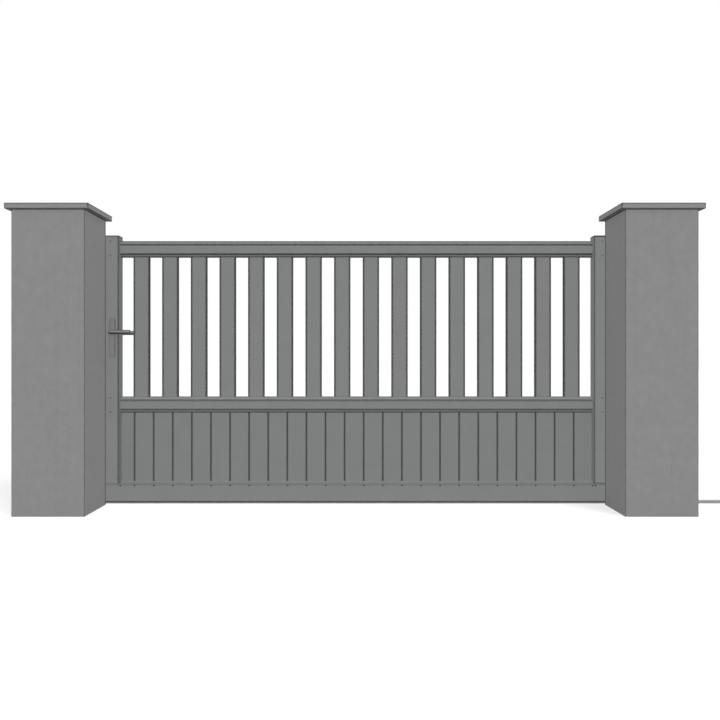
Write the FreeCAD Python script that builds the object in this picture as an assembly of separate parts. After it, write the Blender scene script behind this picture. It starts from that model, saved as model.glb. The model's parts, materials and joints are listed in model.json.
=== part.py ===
"""Sliding driveway gate: a leaf of pickets over boards that rolls behind two rendered pillars.

Millimetres. The origin is on the ground, under the leaf, in the middle of the opening.
X runs along the track towards the open end, Y away from the street, Z up.
"""
import FreeCAD, Part
import os

V = FreeCAD.Vector

# Opening and pillars
opening_width = 3000.0
pillar_side = 407.0
pillar_above_leaf = 82.0
pillar_edge_radius = 4.0
cap_thickness = 32.0
cap_overhang = 29.0
cap_chamfer = 3.0
drip_inset = 10.0
drip_width = 8.0
drip_depth = 6.0
running_gap = 30.0

# Leaf frame
lead_overlap = 32.0
tail_overlap = 46.0
leaf_depth = 90.0
leaf_top_z = 1624.0
ground_clearance = 10.0
frame_wall = 3.0
frame_radius = 3.0
stile_width = 101.0
stile_cap_height = 6.0
cap_spigot_depth = 20.0
slip_clearance = 0.3

# Bottom rail
bottom_rail_height = 113.0
bottom_rail_wall = 4.0
end_cap_thickness = 4.0
rib_notch_clearance = 8.0
bead_height = 8.0
bead_foot = 12.0
bead_top = 4.0

# Top and middle rails
rail_height = 97.0
rail_depth = 55.0
top_rail_drop = 29.5
mid_rail_top_z = 647.0
upper_lip = 21.0
lower_lip = 16.0
lip_step = 4.0
lip_slope = 4.0
rail_radius = 2.0

# Pickets and boards
picket_count = 16
picket_width = 100.0
picket_wall = 1.8
picket_radius = 2.0
infill_thickness = 23.0
board_pitch = 116.6
last_board_width = 112.0
board_wall = 1.5
board_joint_gap = 0.4
joint_chamfer = 4.0
tongue_length = 6.0
tongue_thickness = 6.0
head_room = 2.0

# Ground track and stop
track_width = 60.0
track_base_thickness = 3.0
rib_radius = 7.0
rib_height = 17.0
track_lead = 70.0
track_screw_radius = 4.5
track_screw_inset = 11.0
track_screw_rows = 12
track_screw_margin = 120.0
stop_clearance = 0.5
buffer_thickness = 12.0
stop_length = 40.0
stop_height = 85.0
stop_buffer_height = 40.0

# Wheels
wheel_inset = 380.0
wheel_radius = 45.0
wheel_width = 24.0
wheel_clearance = 0.3
groove_play = 0.3
axle_radius = 8.0
axle_play = 0.1

# Top guide
guide_width = 40.0
guide_height = 40.0
guide_wall = 3.0
guide_tail = 290.0
roller_play = 0.5
roller_height = 26.0
roller_floor_gap = 6.0
roller_spacing = 110.0
roller_inset = 155.0
roller_pin_radius = 5.0
roller_washer_radius = 9.0
roller_washer_thickness = 3.0
bracket_thickness = 6.0
bracket_length = 190.0
bracket_height = 58.0
bracket_over_leaf = 22.0
bracket_edge = 22.0
gusset_reach = 45.0

# Catcher behind the closing pillar
catcher_wall = 4.0
catcher_grip = 20.0
catcher_end_margin = 20.0
catcher_play = 5.0
catcher_buffer_width = 60.0

# Handle
handle_inset = 62.0
handle_z = 1037.5
plate_width = 37.0
plate_height = 235.0
plate_above_lever = 85.5
plate_thickness = 6.0
plate_corner = 8.0
plate_chamfer = 1.5
lever_radius = 13.0
lever_reach = 120.0
lever_standoff = 45.0
lever_clear_of_pillar = 50.0
lever_end_radius = 3.0
neck_radius = 8.5
neck_gap = 0.3
spindle_side = 8.0
spindle_hole_radius = 7.0

# Places worked out from the sizes above
half_opening = opening_width / 2
pillar_height = leaf_top_z + pillar_above_leaf
leaf_left = -half_opening - lead_overlap
leaf_right = half_opening + tail_overlap
bay_left = leaf_left + stile_width
bay_right = leaf_right - stile_width
leaf_front = -leaf_depth / 2
leaf_back = leaf_depth / 2
pillar_back = leaf_front - running_gap
pillar_front = pillar_back - pillar_side
bottom_rail_top = ground_clearance + bottom_rail_height
top_rail_z = leaf_top_z - top_rail_drop - rail_height
mid_rail_z = mid_rail_top_z - rail_height
infill_y = leaf_back - rail_depth / 2
slot_half = infill_thickness / 2 + slip_clearance
picket_gap = (bay_right - bay_left - picket_count * picket_width) / (picket_count + 1)
guide_z = top_rail_z + (rail_height - guide_height) / 2
roller_y = leaf_back + guide_width / 2
roller_radius = guide_width / 2 - guide_wall - roller_play
handle_x = leaf_left + handle_inset
slide_travel = half_opening - handle_x - lever_reach - lever_clear_of_pillar
open_end = leaf_right + slide_travel + stop_clearance
catcher_span = (bottom_rail_top + catcher_end_margin, leaf_top_z - catcher_end_margin)


def box(x, y, z):
    """A box between the low and high values in x, y and z."""
    return Part.makeBox(x[1] - x[0], y[1] - y[0], z[1] - z[0], V(x[0], y[0], z[0]))


def rounded(shape, radius, axis):
    """The shape with every straight edge that runs along the axis rounded."""
    edges = [e for e in shape.Edges if abs(abs(e.tangentAt(e.FirstParameter).dot(axis)) - 1) < 1e-6]
    return shape.makeFillet(radius, edges)


def bevelled_top(shape, size):
    """The shape with the edges round its top face chamfered."""
    top = shape.BoundBox.ZMax
    edges = [e for e in shape.Edges if min(v.Z for v in e.Vertexes) > top - 1e-6]
    return shape.makeChamfer(size, edges)


def tube(x, y, z, wall, radius, axis):
    """A rounded box section, open at both ends along the axis."""
    along = [abs(part) > 0.5 for part in axis]
    inner = [
        span if open_end_here else (span[0] + wall, span[1] - wall)
        for span, open_end_here in zip((x, y, z), along)
    ]
    return rounded(box(x, y, z), radius, axis).cut(box(*inner))


def extrusion_x(outline, x):
    """A closed outline of (y, z) points extruded from x low to x high."""
    points = [V(x[0], py, pz) for py, pz in outline]
    return Part.Face(Part.makePolygon(points + points[:1])).extrude(V(x[1] - x[0], 0, 0))


def extrusion_z(outline, z):
    """A closed outline of (x, y) points extruded from z low to z high."""
    points = [V(px, py, z[0]) for px, py in outline]
    return Part.Face(Part.makePolygon(points + points[:1])).extrude(V(0, 0, z[1] - z[0]))


def cylinder(radius, start, end):
    """A round bar from one point to another."""
    return Part.makeCylinder(radius, (end - start).Length, start, end - start)


def save(name, shape):
    """Write one named piece."""
    shape.removeSplitter().exportStep(f"parts/{name}.step")


def pillar(x):
    """A rendered square pillar with softened corners."""
    body = box(x, (pillar_front, pillar_back), (0, pillar_height))
    return rounded(body, pillar_edge_radius, V(0, 0, 1))


def pillar_cap(x):
    """A flat coping slab with a drip groove round its underside."""
    def ring(inset, z):
        return box(
            (x[0] - cap_overhang + inset, x[1] + cap_overhang - inset),
            (pillar_front - cap_overhang + inset, pillar_back + cap_overhang - inset),
            z,
        )

    slab = bevelled_top(ring(0, (pillar_height, pillar_height + cap_thickness)), cap_chamfer)
    groove_z = (pillar_height, pillar_height + drip_depth)
    groove = ring(drip_inset, groove_z).cut(ring(drip_inset + drip_width, groove_z))
    return slab.cut(groove)


def stile(x):
    """A hollow upright that stands on the bottom rail."""
    return tube(
        x,
        (leaf_front, leaf_back),
        (bottom_rail_top, leaf_top_z - stile_cap_height),
        frame_wall,
        frame_radius,
        V(0, 0, 1),
    )


def lock_stile():
    """The closing stile, drilled through for the spindle."""
    return stile((leaf_left, bay_left)).cut(spindle_hole((leaf_front, leaf_back)))


def stile_cap(x):
    """A lid on the head of a stile, with a spigot that drops into the tube."""
    head = leaf_top_z - stile_cap_height
    lid = rounded(box(x, (leaf_front, leaf_back), (head, leaf_top_z)), frame_radius, V(0, 0, 1))
    lid = bevelled_top(lid, stile_cap_height / 3)
    inset = frame_wall + slip_clearance
    spigot = box(
        (x[0] + inset, x[1] - inset),
        (leaf_front + inset, leaf_back - inset),
        (head - cap_spigot_depth, head),
    )
    return lid.fuse(spigot)


def rail(z):
    """A hollow rail with a sloping lip above and below its main face, and a chamber in each part."""
    half = rail_depth / 2
    step = half - lip_step
    edge = step - lip_slope
    low, high = z + lower_lip, z + rail_height - upper_lip
    right = [(edge, z), (step, low), (half, low), (half, high), (step, high), (edge, z + rail_height)]
    outline = [(infill_y + y, pz) for y, pz in right]
    outline += [(infill_y - y, pz) for y, pz in reversed(right)]
    body = extrusion_x(outline, (bay_left, bay_right))
    corners = [
        e for e in body.Edges
        if e.Length > picket_width and abs(abs(e.CenterOfMass.y - infill_y) - half) < 1e-6
    ]
    body = body.makeFillet(rail_radius, corners)
    web = frame_wall / 2
    lip_span = (infill_y - slot_half, infill_y + slot_half)
    main_span = (infill_y - half + frame_wall, infill_y + half - frame_wall)
    chambers = [
        (lip_span, (z + frame_wall, low - web)),
        (main_span, (low + web, high - web)),
        (lip_span, (high + web, z + rail_height - frame_wall)),
    ]
    for span, height in chambers:
        body = body.cut(box((bay_left, bay_right), span, height))
    return body


def picket_span(index):
    """The low and high X of one picket, counted from the closing end."""
    start = bay_left + picket_gap + index * (picket_width + picket_gap)
    return start, start + picket_width


def picket_slots(z):
    """The slots that the pickets pass through, in a rail wall that starts at this height."""
    slots = []
    for index in range(picket_count):
        left, right = picket_span(index)
        span = (left - slip_clearance, right + slip_clearance)
        slots.append(box(span, (infill_y - slot_half, infill_y + slot_half), (z, z + frame_wall)))
    return Part.makeCompound(slots)


def top_rail():
    """The upper rail, slotted below for the picket heads."""
    return rail(top_rail_z).cut(picket_slots(top_rail_z))


def mid_rail():
    """The middle rail, slotted above for the pickets and grooved below for the boards."""
    body = rail(mid_rail_z).cut(picket_slots(mid_rail_top_z - frame_wall))
    groove = box(
        (bay_left, bay_right),
        (infill_y - slot_half, infill_y + slot_half),
        (mid_rail_z, mid_rail_z + frame_wall),
    )
    return body.cut(groove)


def picket(index):
    """One hollow picket, standing on the web inside the middle rail's upper lip."""
    web = frame_wall / 2
    foot = mid_rail_top_z - upper_lip + web
    head = top_rail_z + lower_lip - web - head_room
    depth = (infill_y - infill_thickness / 2, infill_y + infill_thickness / 2)
    return tube(picket_span(index), depth, (foot, head), picket_wall, picket_radius, V(0, 0, 1))


def board(left, right, has_groove, has_tongue):
    """One hollow board with V-joint edges, ripped square on a side that has no joint."""
    half = infill_thickness / 2
    foot, head = bottom_rail_top, mid_rail_z + lower_lip - frame_wall / 2 - head_room
    tongue = tongue_thickness / 2
    groove = tongue + slip_clearance
    groove_floor = left + tongue_length + board_joint_gap
    left_cut = joint_chamfer if has_groove else 0.0
    right_cut = joint_chamfer if has_tongue else 0.0
    body = box((left, right), (-half, half), (foot, head))
    chamfers = [(left, left_cut, 1), (right, right_cut, -1)]
    for x, cut, inward in chamfers:
        for side in (-1, 1):
            if cut:
                corner = [(x, side * half), (x + inward * cut, side * half), (x, side * (half - cut))]
                body = body.cut(extrusion_z(corner, (foot, head)))
    if has_tongue:
        body = body.fuse(box((right, right + tongue_length), (-tongue, tongue), (foot, head)))
    if has_groove:
        body = body.cut(box((left, groove_floor), (-groove, groove), (foot, head)))
    hollow_left = (groove_floor if has_groove else left) + board_wall
    hollow_right = right - right_cut - board_wall
    hollow = half - board_wall
    body = body.cut(box((hollow_left, hollow_right), (-hollow, hollow), (foot, head)))
    body.translate(V(0, infill_y, 0))
    return body


def lower_boards():
    """The board infill, laid from the open end, with the first and last boards ripped to fit."""
    joints = [bay_right - last_board_width]
    while joints[-1] - board_pitch > bay_left:
        joints.append(joints[-1] - board_pitch)
    edges = [bay_left] + joints[::-1] + [bay_right]
    half_gap = board_joint_gap / 2
    boards = []
    for left, right in zip(edges, edges[1:]):
        has_groove, has_tongue = left > bay_left, right < bay_right
        start = left + half_gap if has_groove else left
        end = right - half_gap if has_tongue else right
        boards.append(board(start, end, has_groove, has_tongue))
    return Part.makeCompound(boards)


def bottom_rail():
    """An inverted channel that houses the wheels, with two sloping beads that hold the feet of the boards."""
    x = (leaf_left + end_cap_thickness, leaf_right - end_cap_thickness)
    body = box(x, (leaf_front, leaf_back), (ground_clearance, bottom_rail_top))
    crown = [
        e for e in body.Edges
        if e.Length > leaf_depth + bottom_rail_height and e.CenterOfMass.z > bottom_rail_top - 1e-6
    ]
    body = body.makeFillet(frame_radius, crown)
    inside = (leaf_front + bottom_rail_wall, leaf_back - bottom_rail_wall)
    body = body.cut(box(x, inside, (ground_clearance, bottom_rail_top - bottom_rail_wall)))
    for side in (-1, 1):
        bead = [
            (infill_y + side * slot_half, bottom_rail_top),
            (infill_y + side * (slot_half + bead_foot), bottom_rail_top),
            (infill_y + side * (slot_half + bead_top), bottom_rail_top + bead_height),
            (infill_y + side * slot_half, bottom_rail_top + bead_height),
        ]
        body = body.fuse(extrusion_x(bead, (bay_left, bay_right)))
    return body


def end_cap(x):
    """A plate that closes one end of the bottom rail, notched to straddle the track."""
    plate = box(x, (leaf_front, leaf_back), (ground_clearance, bottom_rail_top))
    half = rib_radius + rib_notch_clearance
    notch = box(x, (-half, half), (ground_clearance, rib_height + rib_notch_clearance))
    return plate.cut(notch)


def axle_z():
    """Height of the wheel axles, with the wheel grooves just clear of the track rib."""
    return rib_height + wheel_clearance + wheel_radius - rib_radius


def wheel(x):
    """A grooved wheel that straddles the round rib of the track."""
    centre = V(x, 0, axle_z())
    half = V(0, wheel_width / 2, 0)
    body = cylinder(wheel_radius, centre - half, centre + half)
    groove = rib_radius + groove_play
    groove_floor = wheel_radius - rib_radius
    body = body.cut(Part.makeTorus(groove_floor + groove, groove, centre, V(0, 1, 0)))
    return body.cut(cylinder(axle_radius + axle_play, centre - half, centre + half))


def axle(x):
    """A wheel axle held between the side walls of the bottom rail."""
    reach = leaf_back - bottom_rail_wall
    return cylinder(axle_radius, V(x, -reach, axle_z()), V(x, reach, axle_z()))


def ground_track():
    """A flat base with a round-topped rib, screwed down along both edges."""
    start, end = leaf_left - track_lead, open_end + buffer_thickness + stop_length
    base = box((start, end), (-track_width / 2, track_width / 2), (0, track_base_thickness))
    crown = rib_height - rib_radius
    web = box((start, end), (-rib_radius, rib_radius), (track_base_thickness, crown))
    rib = cylinder(rib_radius, V(start, 0, crown), V(end, 0, crown))
    track = base.fuse([web, rib])
    pitch = (end - start - 2 * track_screw_margin) / (track_screw_rows - 1)
    holes = []
    for row in range(track_screw_rows):
        x = start + track_screw_margin + row * pitch
        for side in (-1, 1):
            y = side * (track_width / 2 - track_screw_inset)
            holes.append(cylinder(track_screw_radius, V(x, y, 0), V(x, y, track_base_thickness)))
    return track.cut(Part.makeCompound(holes))


def track_stop():
    """A block that straddles the rib at the open end of the track."""
    x = (open_end + buffer_thickness, open_end + buffer_thickness + stop_length)
    block = box(x, (-track_width / 2, track_width / 2), (track_base_thickness, stop_height))
    half = rib_radius + slip_clearance
    return block.cut(box(x, (-half, half), (track_base_thickness, rib_height + slip_clearance)))


def track_stop_buffer():
    """The rubber face of the track stop."""
    return rounded(
        box(
            (open_end, open_end + buffer_thickness),
            (-track_width / 2, track_width / 2),
            (stop_height - stop_buffer_height, stop_height),
        ),
        frame_radius,
        V(0, 1, 0),
    )


def guide_channel():
    """A channel along the back of the top rail, open upwards, that runs on past the tail stile."""
    x = (bay_left, leaf_right + guide_tail)
    y = (leaf_back, leaf_back + guide_width)
    body = box(x, y, (guide_z, guide_z + guide_height))
    inside = (y[0] + guide_wall, y[1] - guide_wall)
    return body.cut(box(x, inside, (guide_z + guide_wall, guide_z + guide_height)))


def roller_places():
    """The X of each guide roller, behind the pillar at the open side."""
    first = half_opening + roller_inset
    return first, first + roller_spacing


def roller_z():
    """The low and high Z of the guide rollers."""
    low = guide_z + guide_wall + roller_floor_gap + roller_washer_thickness
    return low, low + roller_height


def guide_bracket():
    """An angle on the back of the pillar that reaches over the leaf and carries the roller pins."""
    centre = sum(roller_places()) / 2
    x = (centre - bracket_length / 2, centre + bracket_length / 2)
    shelf = leaf_top_z + bracket_over_leaf
    arm = box(x, (pillar_back, roller_y + bracket_edge), (shelf, shelf + bracket_thickness))
    leg = box(x, (pillar_back, pillar_back + bracket_thickness), (shelf, shelf + bracket_height))
    corner_y, corner_z = pillar_back + bracket_thickness, shelf + bracket_thickness
    gusset = [(corner_y, corner_z), (corner_y + gusset_reach, corner_z), (corner_y, corner_z + gusset_reach)]
    pieces = [leg]
    for start in (x[0], x[1] - bracket_thickness):
        pieces.append(extrusion_x(gusset, (start, start + bracket_thickness)))
    low = roller_z()[0]
    for place in roller_places():
        foot = V(place, roller_y, low - roller_washer_thickness)
        pieces.append(cylinder(roller_pin_radius, foot, V(place, roller_y, shelf)))
        pieces.append(cylinder(roller_washer_radius, foot, V(place, roller_y, low)))
    return arm.fuse(pieces)


def guide_rollers():
    """The rollers that keep the channel upright, one on each pin."""
    low, high = roller_z()
    rollers = []
    for place in roller_places():
        start, end = V(place, roller_y, low), V(place, roller_y, high)
        roller = cylinder(roller_radius, start, end)
        rollers.append(roller.cut(cylinder(roller_pin_radius + axle_play, start, end)))
    return Part.makeCompound(rollers)


def catcher_channel():
    """A channel fixed behind the closing pillar that takes the leading stile."""
    web = leaf_left - stop_clearance - buffer_thickness
    x = (web - catcher_wall, leaf_left + catcher_grip)
    y = (pillar_back, leaf_back + catcher_play + catcher_wall)
    inside = (y[0] + catcher_wall, y[1] - catcher_wall)
    return box(x, y, catcher_span).cut(box((web, x[1]), inside, catcher_span))


def catcher_buffer():
    """The rubber strip that the leading stile closes on."""
    web = leaf_left - stop_clearance - buffer_thickness
    half = catcher_buffer_width / 2
    return box((web, web + buffer_thickness), (-half, half), catcher_span)


def spindle_hole(y):
    """The drilling for the spindle between two faces."""
    return cylinder(spindle_hole_radius, V(handle_x, y[0], handle_z), V(handle_x, y[1], handle_z))


def handle_plate():
    """The long plate behind the lever on the street side, with rounded corners."""
    top = handle_z + plate_above_lever
    half = plate_width / 2
    y = (leaf_front - plate_thickness, leaf_front)
    body = box((handle_x - half, handle_x + half), y, (top - plate_height, top))
    body = rounded(body, plate_corner, V(0, 1, 0))
    face_edges = [e for e in body.Edges if max(v.Y for v in e.Vertexes) < y[0] + 1e-6]
    return body.makeChamfer(plate_chamfer, face_edges).cut(spindle_hole(y))


def lever():
    """The street-side lever: a straight round bar on a neck, with a ball end there and an eased tip."""
    seat = leaf_front - plate_thickness - neck_gap
    y = leaf_front - lever_standoff
    elbow = V(handle_x, y, handle_z)
    tip = V(handle_x + lever_reach, y, handle_z)
    bar = cylinder(lever_radius, elbow, tip)
    bar = bar.makeFillet(lever_end_radius, [e for e in bar.Edges if e.BoundBox.XMin > tip.x - 1e-3])
    neck = cylinder(neck_radius, V(handle_x, seat, handle_z), elbow)
    return neck.fuse([bar, Part.makeSphere(lever_radius, elbow)])


def rear(shape):
    """The same piece on the yard side of the leaf."""
    return shape.mirror(V(0, 0, 0), V(0, 1, 0))


def spindle():
    """The square bar that joins the two levers through the stile."""
    half = spindle_side / 2
    reach = leaf_back + plate_thickness + neck_gap
    return box(
        (handle_x - half, handle_x + half),
        (-reach, reach),
        (handle_z - half, handle_z + half),
    )


def build():
    """Write every piece of the gate."""
    os.makedirs("parts", exist_ok=True)
    sides = {
        "left": (-half_opening - pillar_side, -half_opening),
        "right": (half_opening, half_opening + pillar_side),
    }
    for side, x in sides.items():
        save(f"{side}_pillar", pillar(x))
        save(f"{side}_pillar_cap", pillar_cap(x))
    save("ground_track", ground_track())
    save("track_stop", track_stop())
    save("track_stop_buffer", track_stop_buffer())
    save("guide_bracket", guide_bracket())
    save("guide_rollers", guide_rollers())
    save("catcher_channel", catcher_channel())
    save("catcher_buffer", catcher_buffer())
    save("left_stile", lock_stile())
    save("right_stile", stile((bay_right, leaf_right)))
    save("left_stile_cap", stile_cap((leaf_left, bay_left)))
    save("right_stile_cap", stile_cap((bay_right, leaf_right)))
    save("top_rail", top_rail())
    save("mid_rail", mid_rail())
    save("bottom_rail", bottom_rail())
    save("left_end_cap", end_cap((leaf_left, leaf_left + end_cap_thickness)))
    save("right_end_cap", end_cap((leaf_right - end_cap_thickness, leaf_right)))
    for index in range(picket_count):
        save(f"picket_{index + 1:02d}", picket(index))
    save("lower_boards", lower_boards())
    save("guide_channel", guide_channel())
    wheels = {"left": leaf_left + wheel_inset, "right": leaf_right - wheel_inset}
    for side, x in wheels.items():
        save(f"{side}_wheel", wheel(x))
    save("wheel_axles", Part.makeCompound([axle(x) for x in wheels.values()]))
    save("handle_plate_front", handle_plate())
    save("handle_plate_rear", rear(handle_plate()))
    save("lever_front", lever())
    save("lever_rear", rear(lever()))
    save("spindle", spindle())


build()
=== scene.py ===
"""Looks of the sliding driveway gate: its finishes, the pieces modelled on the frame, light and camera.

Metres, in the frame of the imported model: X along the track towards the open end, Y away from the
street, Z up from the ground.
"""
import json
import logging
import math
from contextlib import contextmanager
from dataclasses import dataclass
from enum import Enum
from typing import Any, Callable, ClassVar, Iterator, Sequence

import bmesh
import bpy
from mathutils import Matrix, Vector


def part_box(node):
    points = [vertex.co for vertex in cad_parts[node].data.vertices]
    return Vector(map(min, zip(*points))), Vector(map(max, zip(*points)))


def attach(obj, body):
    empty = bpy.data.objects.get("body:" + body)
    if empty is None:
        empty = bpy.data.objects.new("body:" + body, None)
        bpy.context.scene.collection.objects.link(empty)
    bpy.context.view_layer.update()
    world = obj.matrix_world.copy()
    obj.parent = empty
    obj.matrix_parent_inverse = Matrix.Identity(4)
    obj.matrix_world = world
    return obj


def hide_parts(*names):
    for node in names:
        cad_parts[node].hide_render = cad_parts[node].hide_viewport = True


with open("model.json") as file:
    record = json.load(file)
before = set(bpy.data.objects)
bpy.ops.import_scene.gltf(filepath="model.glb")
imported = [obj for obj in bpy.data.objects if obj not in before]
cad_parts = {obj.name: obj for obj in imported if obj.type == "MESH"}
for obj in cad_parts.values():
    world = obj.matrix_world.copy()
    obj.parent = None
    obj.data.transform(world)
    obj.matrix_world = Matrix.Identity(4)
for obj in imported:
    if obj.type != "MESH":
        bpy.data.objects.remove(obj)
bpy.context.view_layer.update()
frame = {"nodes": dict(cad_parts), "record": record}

log = logging.getLogger("gate")

Place = Sequence[float]
Colour = tuple[float, float, float]
Span = tuple[Any, Any]
Test = Callable[[Any], bool]
Piece = bpy.types.Object
Node = bpy.types.Node
Socket = bpy.types.NodeSocket

NEAR = 1e-5
SQUARE = 0.999
SMOOTH_ANGLE = math.radians(35)
QUARTER_TURN = math.pi / 2
SUN_SPREAD = math.radians(20)
EVEN = (1.0, 1.0, 1.0)
WHITE = (1.0, 1.0, 1.0, 1.0)
UP = Vector((0, 0, 1))
DOWN = Vector((0, 0, -1))
STREETWARDS = Vector((0, -1, 0))
QUAD = 4
FEW_STEPS = 2
EDGE_STEPS = 3
ROUND_SIDES = 48


class Body(Enum):
    """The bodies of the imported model."""

    POSTS = "posts"
    LEAF = "leaf"
    HANDLE = "handle"


class Slot(Enum):
    """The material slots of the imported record."""

    RENDER = "render"
    COPING = "coping"
    POWDER_COAT = "powder_coat"
    GALVANISED = "galvanised"
    RUBBER = "rubber"
    NYLON = "nylon"
    WHEEL_STEEL = "wheel_steel"
    CAP_PLASTIC = "cap_plastic"
    LEVER_ALLOY = "lever_alloy"
    PLATE_ALLOY = "plate_alloy"


class Side(Enum):
    """The two faces of the leaf, by the way they look along Y."""

    STREET = -1
    YARD = 1

    def face(self, node: str) -> float:
        """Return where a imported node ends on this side."""
        low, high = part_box(node)
        return low.y if self is Side.STREET else high.y


class Axis(Enum):
    """The three directions of the frame, by their place in a vector."""

    X = 0
    Y = 1
    Z = 2


class Element(Enum):
    """What an edit-mode selection holds."""

    VERTEX = "VERT"
    EDGE = "EDGE"
    FACE = "FACE"


class Grain(Enum):
    """The pattern that a bare metal surface keeps from its making, by its marks in a metre."""

    BRUSHED_X = (4.0, 240.0, 240.0)
    BRUSHED_Z = (240.0, 240.0, 4.0)
    SPANGLE = (55.0, 55.0, 55.0)


# Modelling by hand


def take(piece: Piece) -> None:
    """Make one object the active one and the only selected one."""
    bpy.ops.object.select_all(action="DESELECT")
    bpy.context.view_layer.objects.active = piece
    piece.select_set(True)


def settle_primitive(name: str) -> Piece:
    """Name the primitive that was just added, and put its place and size in its mesh.

    Args:
        name: its name.

    Returns:
        The primitive.
    """
    piece = bpy.context.object
    piece.name = name
    piece.data.name = name
    bpy.ops.object.transform_apply(location=True, rotation=True, scale=True)
    return piece


def block(name: str, low: Place, high: Place) -> Piece:
    """Add a box.

    Args:
        name: the piece's name.
        low: its lowest corner.
        high: its highest corner.

    Returns:
        The new piece.
    """
    bpy.ops.object.select_all(action="DESELECT")
    start, end = Vector(low), Vector(high)
    bpy.ops.mesh.primitive_cube_add(size=1, location=(start + end) / 2, scale=end - start)
    return settle_primitive(name)


def rod(name: str, radius: float, start: Place, end: Place, sides: int = ROUND_SIDES) -> Piece:
    """Add a round or many-sided bar.

    Args:
        name: the piece's name.
        radius: the radius of its corners.
        start: the middle of one end.
        end: the middle of the other end.
        sides: how many sides it has.

    Returns:
        The new piece.
    """
    bpy.ops.object.select_all(action="DESELECT")
    along = Vector(end) - Vector(start)
    bpy.ops.mesh.primitive_cylinder_add(
        vertices=sides,
        radius=radius,
        depth=along.length,
        location=(Vector(start) + Vector(end)) / 2,
        rotation=along.to_track_quat("Z", "Y").to_euler(),
    )
    return settle_primitive(name)


@contextmanager
def editing(piece: Piece) -> Iterator[None]:
    """Open a piece in edit mode, and close it again."""
    take(piece)
    bpy.ops.object.mode_set(mode="EDIT")
    yield
    bpy.ops.object.mode_set(mode="OBJECT")


def pick(piece: Piece, element: Element, wanted: Test) -> None:
    """Select the parts of an open piece that pass a test, and nothing else.

    Args:
        piece: the open piece.
        element: whether vertices, edges or faces are selected.
        wanted: the test.
    """
    bpy.ops.mesh.select_mode(type=element.value)
    bpy.ops.mesh.select_all(action="DESELECT")
    mesh = bmesh.from_edit_mesh(piece.data)
    mesh.normal_update()
    found = {Element.VERTEX: mesh.verts, Element.EDGE: mesh.edges, Element.FACE: mesh.faces}[element]
    for part in found:
        if wanted(part):
            part.select_set(True)
    mesh.select_flush_mode()
    bmesh.update_edit_mesh(piece.data)


def facing(direction: Place, corners: int = 0) -> Test:
    """Return a test for faces that look a given way and have more than so many corners."""
    unit = Vector(direction).normalized()
    return lambda face: face.normal.dot(unit) > SQUARE and len(face.verts) > corners


def running(axis: Axis) -> Test:
    """Return a test for straight edges that run along an axis."""
    return lambda edge: abs((edge.verts[1].co - edge.verts[0].co)[axis.value]) > SQUARE * edge.calc_length()


def level(axis: Axis, value: float) -> Test:
    """Return a test for edges or faces whose vertices all lie at one place along an axis."""
    return lambda part: all(abs(vertex.co[axis.value] - value) < NEAR for vertex in part.verts)


def ease(piece: Piece, wanted: Test, width: float, steps: int = EDGE_STEPS) -> None:
    """Round the edges of an open piece that pass a test."""
    pick(piece, Element.EDGE, wanted)
    shape = {"offset_type": "OFFSET", "affect": "EDGES", "clamp_overlap": True}
    bpy.ops.mesh.bevel(offset=width, segments=steps, **shape)


def push(distance: Place) -> None:
    """Extrude the selected faces of the open piece by a vector."""
    bpy.ops.mesh.extrude_region_move(TRANSFORM_OT_translate={"value": tuple(distance)})


def slice_along(piece: Piece, axis: Axis, cell: float) -> None:
    """Cut an open box across one axis into cells of about one size.

    Args:
        piece: the open box.
        axis: the axis that it is cut across.
        cell: the size.
    """
    pick(piece, Element.EDGE, running(axis))
    mesh = bmesh.from_edit_mesh(piece.data)
    longest = max(edge.calc_length() for edge in mesh.edges if edge.select)
    bpy.ops.mesh.subdivide(number_cuts=max(1, round(longest / cell) - 1))


def hollow_ends(piece: Piece, axis: Axis, wall: float) -> None:
    """Bore an open bar right through along its axis.

    Args:
        piece: the open bar.
        axis: its axis.
        wall: the wall that is left.
    """
    ends = Vector((0, 0, 0))
    ends[axis.value] = 1
    pick(piece, Element.FACE, lambda face: facing(ends, QUAD)(face) or facing(-ends, QUAD)(face))
    bpy.ops.mesh.inset(thickness=wall)
    bpy.ops.mesh.bridge_edge_loops()


def smooth(piece: Piece) -> None:
    """Merge doubled points, turn the faces outwards and shade the round ones smooth.

    Args:
        piece: the piece to finish.
    """
    with editing(piece):
        bpy.ops.mesh.select_all(action="SELECT")
        bpy.ops.mesh.remove_doubles(threshold=NEAR)
        bpy.ops.mesh.normals_make_consistent(inside=False)
    take(piece)
    bpy.ops.object.shade_smooth_by_angle(angle=SMOOTH_ANGLE)
    apply_modifier(piece, "WEIGHTED_NORMAL", keep_sharp=True)


def apply_modifier(piece: Piece, kind: str, **settings: Any) -> None:
    """Add a modifier and apply it.

    Args:
        piece: the piece that it changes.
        kind: the modifier's type.
        settings: its properties.
    """
    modifier = piece.modifiers.new(kind.lower(), kind)
    for name, value in settings.items():
        setattr(modifier, name, value)
    take(piece)
    bpy.ops.object.modifier_apply(modifier=modifier.name)


def join(name: str, pieces: Sequence[Piece]) -> Piece:
    """Join several pieces into one mesh.

    Args:
        name: the name of the joined piece.
        pieces: the pieces, of which the first takes up the others.

    Returns:
        The joined piece.
    """
    take(pieces[0])
    for piece in pieces:
        piece.select_set(True)
    bpy.ops.object.join()
    pieces[0].name = name
    pieces[0].data.name = name
    return pieces[0]


def repeat(name: str, model: Piece, places: Sequence[Matrix]) -> Piece:
    """Copy a model to several places as one joined mesh, and remove the model.

    Args:
        name: the name of the joined piece.
        model: the piece to copy.
        places: where each copy goes.

    Returns:
        The joined piece.
    """
    copies = []
    for place in places:
        copy = model.copy()
        copy.data = model.data.copy()
        copy.data.transform(place)
        bpy.context.collection.objects.link(copy)
        copies.append(copy)
    bpy.data.objects.remove(model)
    return join(name, copies)


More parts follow.
